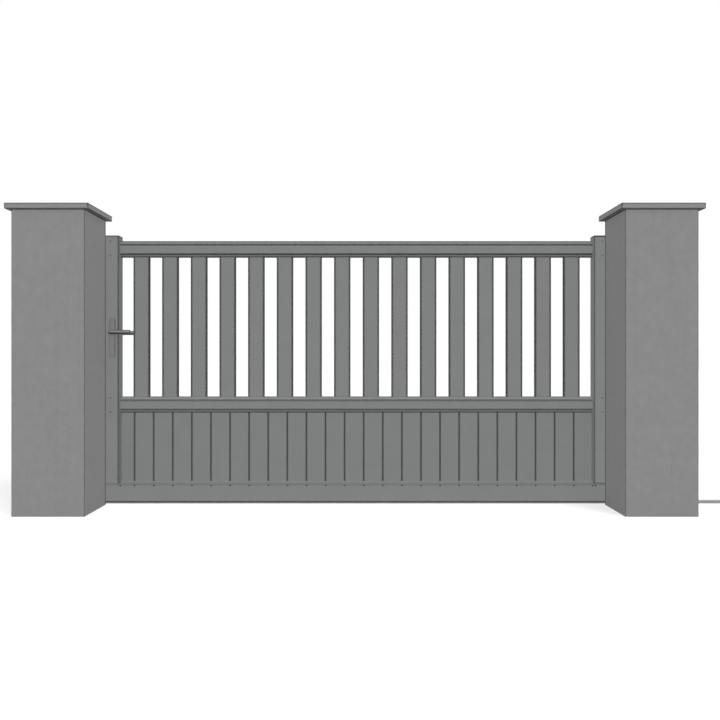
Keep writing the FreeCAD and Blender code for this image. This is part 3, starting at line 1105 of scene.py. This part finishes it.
@dataclass(frozen=True)
class HexBolt:
    """A hexagon bolt head on a washer, modelled looking at the street.

    Attributes:
        across, height: half the head's width over its corners, and its height.
        washer, washer_height: radius and thickness of the washer.
        stub: length of thread that stands out beyond the head.
    """

    across: float = 0.0095
    height: float = 0.0065
    washer: float = 0.0125
    washer_height: float = 0.002
    stub: float = 0.003

    # Shares of the washer's and the head's height that are eased, and of the head that is no thread
    WASHER_EDGE: ClassVar[float] = 1 / 3
    HEAD_EDGE: ClassVar[float] = 1 / 6
    HEAD_RING: ClassVar[float] = 1 / 3
    WASHER_SIDES: ClassVar[int] = 24
    HEAD_SIDES: ClassVar[int] = 6

    def model(self, name: str) -> Piece:
        """Model a bolt at the origin, looking along -Y.

        Args:
            name: the model's name.

        Returns:
            The bolt.
        """
        seat = STREETWARDS * self.washer_height
        face = seat + STREETWARDS * self.height
        washer = rod(f"{name}_washer", self.washer, (0, 0, 0), seat, self.WASHER_SIDES)
        with editing(washer):
            ease(washer, level(Axis.Y, seat.y), self.washer_height * self.WASHER_EDGE, FEW_STEPS)
        head = rod(f"{name}_head", self.across, seat, face, self.HEAD_SIDES)
        with editing(head):
            ease(head, level(Axis.Y, face.y), self.height * self.HEAD_EDGE, FEW_STEPS)
            pick(head, Element.FACE, facing(STREETWARDS, QUAD))
            bpy.ops.mesh.inset(thickness=self.across * self.HEAD_RING)
            push(STREETWARDS * self.stub)
        return join(name, [washer, head])


@dataclass(frozen=True)
class PanScrew:
    """A low round screw head with a six-lobed socket, modelled looking at the street.

    Attributes:
        radius, height, sides: size of the head, and its number of sides.
        socket: radius of the socket.
    """

    radius: float = 0.0055
    height: float = 0.003
    socket: float = 0.0028
    sides: int = 24

    # The dome and the socket's depth as shares of the height, and how far the rim goes in between lobes
    DOME: ClassVar[float] = 0.7
    DEPTH: ClassVar[float] = 0.6
    LOBES: ClassVar[int] = 6
    LOBE_INSET: ClassVar[float] = 0.72
    LOBE_LIMIT: ClassVar[float] = 0.1
    SLACK: ClassVar[float] = 1.01

    def model(self, name: str) -> Piece:
        """Model a screw at the origin, looking along -Y.

        Args:
            name: the model's name.

        Returns:
            The screw.
        """
        face = STREETWARDS * self.height
        dome = self.height * self.DOME
        head = rod(name, self.radius, (0, 0, 0), face, self.sides)
        with editing(head):
            ease(head, level(Axis.Y, face.y), dome)
            pick(head, Element.FACE, facing(STREETWARDS, QUAD))
            bpy.ops.mesh.inset(thickness=self.radius - dome - self.socket)
            pick(head, Element.VERTEX, self.between_lobes)
            bpy.ops.transform.resize(value=(self.LOBE_INSET, 1, self.LOBE_INSET), center_override=face)
            pick(head, Element.FACE, lambda part: facing(STREETWARDS)(part) and self.in_socket(part))
            push(-face * self.DEPTH)
        return head

    def in_reach(self, vertex: Any) -> bool:
        """Return whether a vertex lies on or inside the socket's rim."""
        return math.hypot(vertex.co.x, vertex.co.z) < self.socket * self.SLACK

    def in_socket(self, part: Any) -> bool:
        """Return whether a face lies inside the socket."""
        return all(self.in_reach(vertex) for vertex in part.verts)

    def between_lobes(self, vertex: Any) -> bool:
        """Return whether a vertex of the socket's rim lies between two lobes."""
        turn = math.atan2(vertex.co.z, vertex.co.x)
        return self.in_reach(vertex) and math.cos(self.LOBES * turn) < self.LOBE_LIMIT


@dataclass
class PostFittings:
    """What is bolted to the pillars: the guide bracket's fixings, the rollers and the catcher's fixings.

    Attributes:
        bracket_bolt, pin_nut, catcher_bolt: the fixings of the bracket, roller pins and catcher.
        bracket_spread, bracket_drop: how far the bracket's bolts lie from its middle and its top.
        bracket_plate: thickness of the bracket's plate.
        shelf_drop: how far the bracket's arm lies below its top.
        roller_edge, roller_bore: radius of the rollers' rims and of their bore.
        catcher_rows: heights of the catcher's bolts, as shares of its length.
        catcher_wall: wall of the catcher's channel.
        rib_count, rib_depth: ribs on the catcher's buffer, and the depth of the grooves between.
    """

    bracket_bolt: HexBolt = HexBolt()
    bracket_spread: float = 0.052
    bracket_drop: float = 0.018
    bracket_plate: float = 0.006
    pin_nut: HexBolt = HexBolt(across=0.0105, stub=0.004)
    shelf_drop: float = 0.052
    roller_edge: float = 0.003
    roller_bore: float = 0.0051
    catcher_bolt: HexBolt = HexBolt(stub=0.002)
    catcher_rows: tuple[float, ...] = (0.06, 0.35, 0.65, 0.94)
    catcher_wall: float = 0.004
    rib_count: int = 3
    rib_depth: float = 0.003

    def build(self) -> None:
        """Model the fittings."""
        self.bracket_bolts()
        self.pin_nuts()
        self.rollers()
        self.catcher_bolts()
        self.buffer()

    @staticmethod
    def bolt_on(name: str, bolt: HexBolt, places: Sequence[Matrix]) -> None:
        """Model a bolt at several places, as one piece of the posts."""
        fit(repeat(name, bolt.model(name), places), Body.POSTS, GALVANISED)

    def bracket_bolts(self) -> None:
        """Model the bolts that hold the guide bracket to the pillar's back."""
        low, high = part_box("guide_bracket")
        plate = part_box("right_pillar")[1].y + self.bracket_plate
        middle, height = (low.x + high.x) / 2, high.z - self.bracket_drop
        row = (middle - self.bracket_spread, middle + self.bracket_spread)
        places = [standing((x, plate, height), Side.YARD) for x in row]
        self.bolt_on("guide_bracket_bolts", self.bracket_bolt, places)

    def pin_nuts(self) -> None:
        """Model the nuts that hold the roller pins on the bracket's arm."""
        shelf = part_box("guide_bracket")[1].z - self.shelf_drop
        turn = Matrix.Rotation(-QUARTER_TURN, 4, "X")
        places = [Matrix.Translation((x, y, shelf)) @ turn for x, y in self.pin_places()]
        self.bolt_on("roller_pin_nuts", self.pin_nut, places)

    @staticmethod
    def pin_places() -> list[tuple[float, float]]:
        """Return where each roller pin stands, from the rollers' own box."""
        low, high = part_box("guide_rollers")
        radius = (high.y - low.y) / 2
        middle = (low.y + high.y) / 2
        return [(low.x + radius, middle), (high.x - radius, middle)]

    def rollers(self) -> None:
        """Model the nylon rollers, bored for their pins."""
        low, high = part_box("guide_rollers")
        radius = (high.y - low.y) / 2
        rollers = []
        for number, (x, y) in enumerate(self.pin_places()):
            roller = rod(f"roller_{number}", radius, (x, y, low.z), (x, y, high.z))
            with editing(roller):
                ease(roller, lambda edge: not running(Axis.Z)(edge), self.roller_edge)
                hollow_ends(roller, Axis.Z, radius - self.roller_edge - self.roller_bore)
            rollers.append(roller)
        fit(join("guide_roller_pair", rollers), Body.POSTS, ROLLER_NYLON, ["guide_rollers"])

    def catcher_bolts(self) -> None:
        """Model the bolts that hold the catcher to the pillar's back."""
        low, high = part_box("catcher_channel")
        flange = low.y + self.catcher_wall
        middle = (low.x + self.catcher_wall + high.x) / 2
        heights = [low.z + share * (high.z - low.z) for share in self.catcher_rows]
        places = [standing((middle, flange, height), Side.YARD) for height in heights]
        self.bolt_on("catcher_bolts", self.catcher_bolt, places)

    def buffer(self) -> None:
        """Model the ribbed rubber strip that the leaf closes on."""
        low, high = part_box("catcher_buffer")
        strip = block("catcher_buffer_strip", low, high)
        lanes = 2 * self.rib_count + 1
        lane = (high.y - low.y) / lanes

        def in_groove(face: Any) -> bool:
            """Return whether a face is the floor of a groove: every second lane is one."""
            return facing((1, 0, 0))(face) and int((face.calc_center_median().y - low.y) / lane) % 2 == 1

        with editing(strip):
            pick(strip, Element.EDGE, running(Axis.Y))
            bpy.ops.mesh.subdivide(number_cuts=lanes - 1)
            pick(strip, Element.FACE, in_groove)
            push((-self.rib_depth, 0, 0))
        fit(strip, Body.POSTS, BUFFER_RUBBER, ["catcher_buffer"])


# Leaf


@dataclass
class StileLid:
    """The moulded lid on the head of a stile, with a shadow gap under it.

    Attributes:
        node, stile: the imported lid, and the stile under it.
        gap, neck: height of the shadow gap, and how far it goes in.
        crown: radius of the lid's upper edges.
    """

    node: str
    stile: str
    gap: float = 0.0012
    neck: float = 0.002
    crown: float = 0.002

    def build(self) -> None:
        """Model the lid."""
        low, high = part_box(self.node)
        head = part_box(self.stile)[1].z
        lid = block(f"{self.node}_moulded", (low.x, low.y, head + self.gap), high)
        with editing(lid):
            ease(lid, lambda edge: running(Axis.Z)(edge) or level(Axis.Z, high.z)(edge), self.crown)
            pick(lid, Element.FACE, facing(DOWN))
            bpy.ops.mesh.inset(thickness=self.neck)
            push(DOWN * self.gap)
        fit(lid, Body.LEAF, LID_PLASTIC, [self.node])


@dataclass
class LeafScrews:
    """The screws that show on one face of the leaf: into the rails' ends, and along the bottom rail.

    Attributes:
        side: the face that they are on.
        stile_screw, stile_inset: a screw through a stile, and how far inside its rail's edge it sits.
        foot_screw, foot_drop: a screw of the bottom rail, and how far below the rail's top it sits.
        foot_margin, foot_pitch, foot_count: the first of these from the bay's edge, their spacing and
            their number.
        corner_offset: how far the corner screws lie from the bay's edge.
    """

    side: Side
    stile_screw: PanScrew = PanScrew()
    stile_inset: float = 0.006
    foot_screw: PanScrew = PanScrew(radius=0.0048, height=0.0022, socket=0.0018, sides=12)
    foot_drop: float = 0.0125
    foot_pitch: float = 0.1155
    foot_margin: float = 0.096
    foot_count: int = 24
    corner_offset: float = 0.009

    def build(self) -> None:
        """Model the screws."""
        self.stile_screws()
        self.foot_screws()

    def stile_screws(self) -> None:
        """Model the screws on the stiles' middle lines, two at each rail end."""
        places = []
        for node in ("left_stile", "right_stile"):
            low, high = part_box(node)
            face = self.side.face(node)
            for rail in ("top_rail", "mid_rail"):
                rail_low, rail_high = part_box(rail)
                for height in (rail_low.z + self.stile_inset, rail_high.z - self.stile_inset):
                    places.append(standing(((low.x + high.x) / 2, face, height), self.side))
        name = f"stile_screws_{self.side.name.lower()}"
        screws = repeat(name, self.stile_screw.model("stile_screw"), places)
        fit(screws, Body.LEAF, SCREW_COAT)

    def foot_screws(self) -> None:
        """Model the small screws along the bottom rail, one near each board joint."""
        left, right = (corner.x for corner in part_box("top_rail"))
        face = self.side.face("bottom_rail")
        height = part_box("left_stile")[0].z - self.foot_drop
        row = [left + self.foot_margin + number * self.foot_pitch for number in range(self.foot_count)]
        row += [left + self.corner_offset, right - self.corner_offset, right + self.corner_offset]
        places = [standing((x, face, height), self.side) for x in row]
        name = f"foot_screws_{self.side.name.lower()}"
        fit(repeat(name, self.foot_screw.model(name), places), Body.LEAF, SCREW_STEEL)


@dataclass
class LeverSet:
    """The plate, bearing collar, plate screws and lever on one face of the leading stile.

    Attributes:
        side: the face that it is on.
        corner, rim: radius of the plate's corners and of its front edge.
        border, border_depth: width of the plate's raised border, and how far its field lies below it.
        screw, screw_inset: a screw of the plate, and how far from the plate's end it lies.
        collar, collar_wall, collar_height, collar_rim: the bearing collar's outer radius, wall, height
            and radius of its edge.
        bar, bar_end: radius of the lever's bar, and of the edge at its free end.
        neck: radius of the lever's neck.
        flare, flare_length: radius of the neck where it meets the bar, and length of its flare.
    """

    side: Side
    corner: float = 0.008
    rim: float = 0.0015
    border: float = 0.0025
    border_depth: float = 0.0005
    screw: PanScrew = PanScrew(radius=0.0042, height=0.0016, socket=0.002)
    screw_inset: float = 0.016
    collar: float = 0.0135
    collar_wall: float = 0.0045
    collar_height: float = 0.004
    collar_rim: float = 0.0012
    bar: float = 0.013
    bar_end: float = 0.005
    neck: float = 0.0085
    flare: float = 0.0112
    flare_length: float = 0.006

    CORNER_STEPS: ClassVar[int] = 6
    BALL_STEPS: ClassVar[int] = 10
    END_STEPS: ClassVar[int] = 4
    COLLAR_SIDES: ClassVar[int] = 40

    def build(self) -> None:
        """Model the pieces on this face."""
        self.plate()
        self.collar_ring()
        self.plate_screws()
        self.lever()

    @property
    def suffix(self) -> str:
        """The end of this side's node names."""
        return "front" if self.side is Side.STREET else "rear"

    @property
    def outward(self) -> Vector:
        """The way this face looks."""
        return Vector((0, self.side.value, 0))

    @property
    def pivot(self) -> Vector:
        """The middle of the handle's axis, on the face of the plate."""
        node = f"handle_plate_{self.suffix}"
        low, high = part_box(node)
        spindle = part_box("spindle")
        return Vector(((low.x + high.x) / 2, self.side.face(node), (spindle[0].z + spindle[1].z) / 2))

    def plate(self) -> None:
        """Model the plate, with rounded corners, an eased rim and a shallow sunk field."""
        node = f"handle_plate_{self.suffix}"
        plate = block(f"{node}_pressed", *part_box(node))
        with editing(plate):
            ease(plate, running(Axis.Y), self.corner, self.CORNER_STEPS)
            ease(plate, level(Axis.Y, self.pivot.y), self.rim)
            pick(plate, Element.FACE, facing(self.outward, QUAD))
            bpy.ops.mesh.inset(thickness=self.border)
            bpy.ops.mesh.inset(thickness=2 * self.border_depth, depth=-self.border_depth)
        fit(plate, Body.LEAF, PLATE_ALLOY, [node])

    def collar_ring(self) -> None:
        """Model the collar that the lever's neck turns in."""
        face = self.pivot + self.outward * self.collar_height
        collar = rod(f"handle_collar_{self.suffix}", self.collar, self.pivot, face, self.COLLAR_SIDES)
        with editing(collar):
            ease(collar, level(Axis.Y, face.y), self.collar_rim)
            hollow_ends(collar, Axis.Y, self.collar_wall - self.collar_rim)
        fit(collar, Body.LEAF, PLATE_TRIM)

    def plate_screws(self) -> None:
        """Model the two screws that hold the plate."""
        low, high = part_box(f"handle_plate_{self.suffix}")
        pivot = self.pivot
        heights = (low.z + self.screw_inset, high.z - self.screw_inset)
        places = [standing((pivot.x, pivot.y, z), self.side) for z in heights]
        name = f"plate_screws_{self.suffix}"
        fit(repeat(name, self.screw.model(name), places), Body.LEAF, PLATE_TRIM)

    def lever(self) -> None:
        """Model the lever: a straight bar with a ball end, on a neck that flares to meet it."""
        node = f"lever_{self.suffix}"
        low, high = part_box(node)
        outward = self.outward
        x, _, z = self.pivot
        seat = high.y if self.side is Side.STREET else low.y
        front = self.side.face(node)
        axis = Vector((x, front, z)) - outward * self.bar
        lever = rod(f"{node}_bar", self.bar, (low.x, axis.y, z), (high.x, axis.y, z))
        with editing(lever):
            ease(lever, level(Axis.X, low.x), self.bar - self.rim, self.BALL_STEPS)
            ease(lever, level(Axis.X, high.x), self.bar_end, self.END_STEPS)
        root = axis - outward * self.bar
        neck = rod(f"{node}_neck", self.neck, (x, seat, z), root - outward * self.flare_length)
        with editing(neck):
            pick(neck, Element.FACE, facing(outward))
            push(outward * self.flare_length)
            grow = self.flare / self.neck
            bpy.ops.transform.resize(value=(grow, 1, grow), center_override=root)
            push(outward * self.bar)
        apply_modifier(lever, "BOOLEAN", operation="UNION", object=neck, solver="EXACT")
        bpy.data.objects.remove(neck)
        fit(lever, Body.HANDLE, LEVER_ALLOY, [node])


# Light, floor and camera


@dataclass(frozen=True)
class Fill:
    """A far, soft light that makes no highlights.

    Attributes:
        name: the lamp's name.
        azimuth: where it stands, in degrees round from the street, to the right.
        elevation: how high it stands, in degrees.
        strength: its strength in watts on a square metre.
    """

    name: str
    azimuth: float
    elevation: float
    strength: float

    def build(self, shadow_on: Piece | None = None) -> None:
        """Hang the lamp.

        Args:
            shadow_on: the only piece that it lights, with the shadows of the others, if any.
        """
        data = bpy.data.lights.new(self.name, "SUN")
        data.energy = self.strength
        data.angle = SUN_SPREAD
        data.use_shadow = shadow_on is not None
        lamp = bpy.data.objects.new(self.name, data)
        lamp.visible_glossy = False
        if shadow_on:
            lit = bpy.data.collections.new(f"{self.name}_lit")
            lit.objects.link(shadow_on)
            lamp.light_linking.receiver_collection = lit
        round_, up = math.radians(self.azimuth), math.radians(self.elevation)
        towards = Vector((math.sin(round_) * math.cos(up), -math.cos(round_) * math.cos(up), math.sin(up)))
        lamp.rotation_euler = (-towards).to_track_quat("-Z", "Y").to_euler()
        bpy.context.collection.objects.link(lamp)


@dataclass
class Studio:
    """The pale floor, the soft light and the camera.

    Attributes:
        eye: where the camera stands.
        lens, sensor: its focal length and sensor width, in millimetres.
        sky: strength of the light from all round.
        floor_shade: how much light the floor shows the eye, so that the shadow shows.
        floor_bounce: how much light the floor throws on the gate.
        floor_lift: what the floor adds for the eye, to look white.
        floor_half, floor_drop: half the floor's side, and how far it lies under the feet.
        key_place, key_aim: where the soft lamp hangs, and where it looks.
        key_size, key_power: its width and height, and its power in watts.
        fills: the lights that lift the shades.
        floor_sun: the light that throws the gate's shadow, and falls on the floor alone.
    """

    eye: Place = (0.028, -5.302, 0.870)
    lens: float = 43.456
    sensor: float = 36.0
    sky: float = 0.24
    floor_shade: float = 0.3
    floor_bounce: float = 0.1
    floor_lift: float = 0.45
    floor_half: float = 60.0
    floor_drop: float = 0.0005
    key_place: Place = (0.6, -8.6, 4.6)
    key_aim: Place = (0.0, 0.0, 0.9)
    key_size: tuple[float, float] = (9.0, 5.0)
    key_power: float = 55.0
    fills: tuple[Fill, ...] = (
        Fill("fill_right", azimuth=51, elevation=36, strength=2.34),
        Fill("fill_left", azimuth=-51, elevation=36, strength=1.95),
        Fill("fill_back", azimuth=180, elevation=14, strength=2.9),
    )
    floor_sun: Fill = Fill("floor_sun", azimuth=28, elevation=52, strength=2.6)

    def build(self) -> None:
        """Set up the floor, the light and the camera."""
        bpy.context.scene.view_settings.view_transform = "Standard"
        self.floor_sun.build(self.floor())
        self.world()
        self.key_lamp()
        for fill in self.fills:
            fill.build()
        self.camera()

    @staticmethod
    def shown(graph: Graph, cast: Node, seen: Node) -> Socket:
        """Return a shader that shows one thing and lights the gate as another.

        Args:
            graph: the tree to wire.
            cast: the shader that lights the gate.
            seen: the shader for rays from the camera, from a gloss or through glass.

        Returns:
            The mixed shader.
        """
        path = graph.add("ShaderNodeLightPath").outputs
        direct = graph.maths("MAXIMUM", path["Is Camera Ray"], path["Is Glossy Ray"])
        share = graph.maths("MAXIMUM", direct, path["Is Transmission Ray"])
        inputs = {0: share, 1: cast.outputs[0], 2: seen.outputs[0]}
        return graph.add("ShaderNodeMixShader", inputs).outputs[0]

    def floor(self) -> Piece:
        """Lay a pale floor that looks white and keeps the shadow, and return it."""
        bpy.ops.object.select_all(action="DESELECT")
        bpy.ops.mesh.primitive_plane_add(size=2 * self.floor_half, location=(0, 0, -self.floor_drop))
        floor = settle_primitive("floor")
        material = bpy.data.materials.new("pale_floor")
        graph = Graph.blank(material)
        bounce = graph.add("ShaderNodeBsdfDiffuse", {"Color": opaque((self.floor_bounce,) * 3)})
        shade = graph.add("ShaderNodeBsdfDiffuse", {"Color": opaque((self.floor_shade,) * 3)})
        glow = graph.add("ShaderNodeEmission", {"Strength": self.floor_lift})
        pale = graph.add("ShaderNodeAddShader", {0: shade.outputs[0], 1: glow.outputs[0]})
        graph.add("ShaderNodeOutputMaterial", {"Surface": self.shown(graph, bounce, pale)})
        floor.data.materials.append(material)
        return floor

    def world(self) -> None:
        """Light the gate from all round, and show white behind it."""
        world = bpy.data.worlds.new("soft_sky")
        bpy.context.scene.world = world
        graph = Graph.blank(world)
        light = graph.add("ShaderNodeBackground", {"Color": WHITE, "Strength": self.sky})
        white = graph.add("ShaderNodeBackground", {"Color": WHITE, "Strength": 1.0})
        graph.add("ShaderNodeOutputWorld", {"Surface": self.shown(graph, light, white)})

    def key_lamp(self) -> None:
        """Hang a large soft lamp in front of the gate, above and to the right."""
        data = bpy.data.lights.new("key_lamp", "AREA")
        data.shape = "RECTANGLE"
        data.size, data.size_y = self.key_size
        data.energy = self.key_power
        lamp = bpy.data.objects.new("key_lamp", data)
        lamp.location = self.key_place
        aim = Vector(self.key_aim) - Vector(self.key_place)
        lamp.rotation_euler = aim.to_track_quat("-Z", "Y").to_euler()
        bpy.context.collection.objects.link(lamp)

    def camera(self) -> None:
        """Stand the camera level, square to the gate, where the photograph was taken from."""
        data = bpy.data.cameras.new("camera")
        data.lens = self.lens
        data.sensor_width = self.sensor
        camera = bpy.data.objects.new("camera", data)
        camera.location = self.eye
        camera.rotation_euler = (QUARTER_TURN, 0, 0)
        bpy.context.collection.objects.link(camera)
        bpy.context.scene.camera = camera


def finish_frame() -> None:
    """Lay its slot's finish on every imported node, and the infill's and rails' own coats on theirs."""
    for part in frame["record"]["subparts"]:
        dress(frame["nodes"][part["node"]], FINISHES[Slot(part["material_slot"])])
    for node, piece in frame["nodes"].items():
        if node.startswith("picket"):
            dress(piece, PICKET_COAT)
        elif node in OWN_COATS:
            dress(piece, OWN_COATS[node])


def main() -> None:
    """Build every piece of the gate's looks."""
    logging.basicConfig(level=logging.INFO, format="%(name)s: %(message)s")
    finish_frame()
    for side in ("left", "right"):
        Pillar(f"{side}_pillar").build()
        Coping(f"{side}_pillar_cap").build()
        StileLid(f"{side}_stile_cap", f"{side}_stile").build()
    PostFittings().build()
    for kit in (LeafScrews, LeverSet):
        for side in Side:
            kit(side).build()
    Studio().build()


if __name__ == "__main__":
    main()
